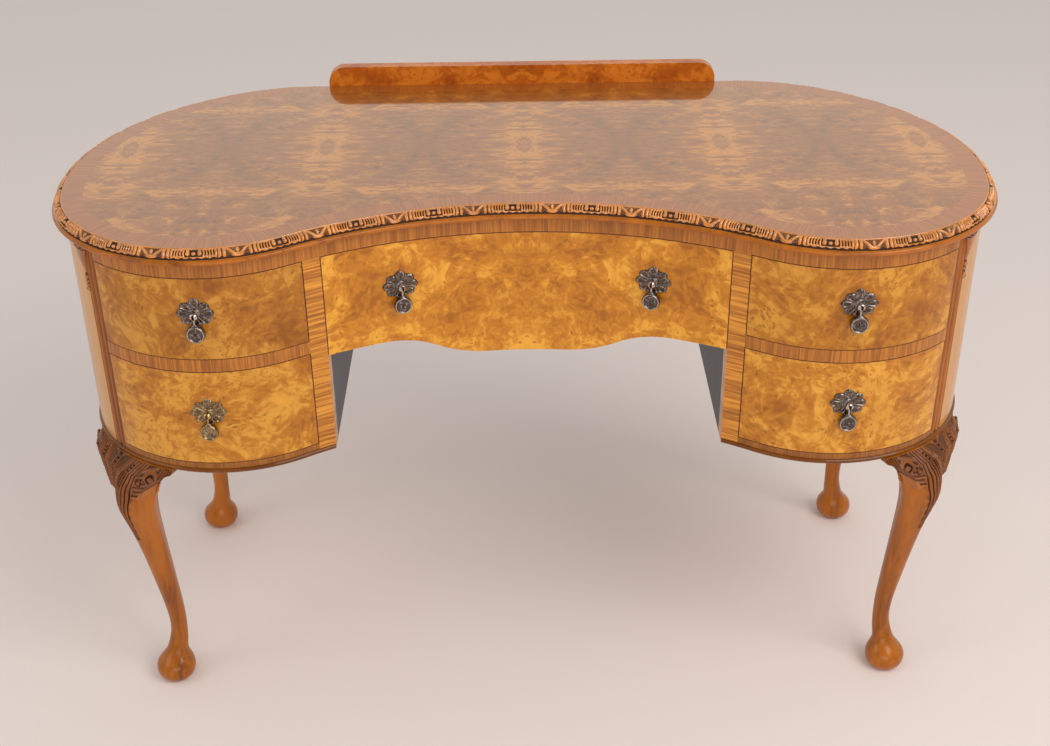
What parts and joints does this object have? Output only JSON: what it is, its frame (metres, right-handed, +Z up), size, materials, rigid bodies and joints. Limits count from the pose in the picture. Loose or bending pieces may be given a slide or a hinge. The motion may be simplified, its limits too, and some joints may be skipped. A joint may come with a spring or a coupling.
{
  "type": "kidney dressing table",
  "caption": "Kidney-shaped figured walnut dressing table with drawers round a kneehole, drop pulls, carved edge and knees, and cabriole legs.",
  "frame": {"origin": "middle of the table's footprint, on the floor", "axes": "+X to the right of someone facing the drawers, +Y away from them, +Z up"},
  "size_m": [1.27, 0.597, 0.77],
  "materials": {
    "walnut_burr": "polished",
    "walnut": "polished",
    "walnut_carved": "polished",
    "stained_wood": "matte",
    "inner_wood": "matte",
    "aged_bronze": "aged",
    "steel": "plain"
  },
  "bodies": {
    "carcase": {"back_panels": "stained_wood", "base_beads": "walnut", "base_rails": "walnut", "carved_drops": "walnut_carved", "carved_edge_moulding": "walnut_carved", "centre_back_rail": "stained_wood", "centre_drawer_kickers": "inner_wood", "centre_drawer_runners": "inner_wood", "corner_posts": "walnut", "divider_rails": "walnut", "end_panel_left": "walnut_burr", "end_panel_right": "walnut_burr", "frieze_rail": "walnut", "front_leg_left": "walnut", "front_leg_right": "walnut", "glue_blocks": "inner_wood", "knee_ears": "walnut_carved", "kneehole_sides": "stained_wood", "pedestal_bottoms": "inner_wood", "rear_leg_left": "walnut", "rear_leg_right": "walnut", "side_drawer_guides": "inner_wood", "side_drawer_kickers": "inner_wood", "side_drawer_runners": "inner_wood", "stiles": "walnut_burr", "top_board": "walnut_burr", "upstand_board": "walnut_burr", "upstand_screws": "steel"},
    "upper_left_drawer": {"upper_left_drawer_back": "inner_wood", "upper_left_drawer_bottom": "inner_wood", "upper_left_drawer_front": "walnut_burr", "upper_left_drawer_rose": "aged_bronze", "upper_left_drawer_sides": "inner_wood"},
    "upper_right_drawer": {"upper_right_drawer_back": "inner_wood", "upper_right_drawer_bottom": "inner_wood", "upper_right_drawer_front": "walnut_burr", "upper_right_drawer_rose": "aged_bronze", "upper_right_drawer_sides": "inner_wood"},
    "lower_left_drawer": {"lower_left_drawer_back": "inner_wood", "lower_left_drawer_bottom": "inner_wood", "lower_left_drawer_front": "walnut_burr", "lower_left_drawer_rose": "aged_bronze", "lower_left_drawer_sides": "inner_wood"},
    "lower_right_drawer": {"lower_right_drawer_back": "inner_wood", "lower_right_drawer_bottom": "inner_wood", "lower_right_drawer_front": "walnut_burr", "lower_right_drawer_rose": "aged_bronze", "lower_right_drawer_sides": "inner_wood"},
    "centre_drawer": {"centre_drawer_back": "inner_wood", "centre_drawer_bottom": "inner_wood", "centre_drawer_front": "walnut_burr", "centre_drawer_roses": "aged_bronze", "centre_drawer_sides": "inner_wood"},
    "centre_drawer_drop_pull_left": {"centre_drawer_drop_pull_left": "aged_bronze"},
    "centre_drawer_drop_pull_right": {"centre_drawer_drop_pull_right": "aged_bronze"},
    "lower_left_drawer_drop_pull": {"lower_left_drawer_drop_pull": "aged_bronze"},
    "lower_right_drawer_drop_pull": {"lower_right_drawer_drop_pull": "aged_bronze"},
    "upper_left_drawer_drop_pull": {"upper_left_drawer_drop_pull": "aged_bronze"},
    "upper_right_drawer_drop_pull": {"upper_right_drawer_drop_pull": "aged_bronze"}
  },
  "joints": [
    {"name": "upper_left_drawer_slide", "type": "slide", "parent": "carcase", "child": "upper_left_drawer", "axis": [0, -1, 0], "range_m": [0, 0.24]},
    {"name": "upper_right_drawer_slide", "type": "slide", "parent": "carcase", "child": "upper_right_drawer", "axis": [0, -1, 0], "range_m": [0, 0.24]},
    {"name": "lower_left_drawer_slide", "type": "slide", "parent": "carcase", "child": "lower_left_drawer", "axis": [0, -1, 0], "range_m": [0, 0.24]},
    {"name": "lower_right_drawer_slide", "type": "slide", "parent": "carcase", "child": "lower_right_drawer", "axis": [0, -1, 0], "range_m": [0, 0.24]},
    {"name": "centre_drawer_slide", "type": "slide", "parent": "carcase", "child": "centre_drawer", "axis": [0, -1, 0], "range_m": [0, 0.26]},
    {"name": "upper_left_drawer_drop_pull_hinge", "type": "hinge", "parent": "upper_left_drawer", "child": "upper_left_drawer_drop_pull", "pos_m": [-0.42017, -0.29204, 0.648], "axis": [-0.9997, 0.0245, 0], "range_deg": [-7, 80]},
    {"name": "upper_right_drawer_drop_pull_hinge", "type": "hinge", "parent": "upper_right_drawer", "child": "upper_right_drawer_drop_pull", "pos_m": [0.42017, -0.29204, 0.648], "axis": [-0.9997, -0.0245, 0], "range_deg": [-7, 80]},
    {"name": "lower_left_drawer_drop_pull_hinge", "type": "hinge", "parent": "lower_left_drawer", "child": "lower_left_drawer_drop_pull", "pos_m": [-0.42017, -0.29204, 0.5], "axis": [-0.9997, 0.0245, 0], "range_deg": [-7, 80]},
    {"name": "lower_right_drawer_drop_pull_hinge", "type": "hinge", "parent": "lower_right_drawer", "child": "lower_right_drawer_drop_pull", "pos_m": [0.42017, -0.29204, 0.5], "axis": [-0.9997, -0.0245, 0], "range_deg": [-7, 80]},
    {"name": "centre_drawer_drop_pull_left_hinge", "type": "hinge", "parent": "centre_drawer", "child": "centre_drawer_drop_pull_left", "pos_m": [-0.16448, -0.1956, 0.634], "axis": [-0.9552, -0.296, 0], "range_deg": [-7, 80]},
    {"name": "centre_drawer_drop_pull_right_hinge", "type": "hinge", "parent": "centre_drawer", "child": "centre_drawer_drop_pull_right", "pos_m": [0.16448, -0.1956, 0.634], "axis": [-0.9552, 0.296, 0], "range_deg": [-7, 80]}
  ]
}
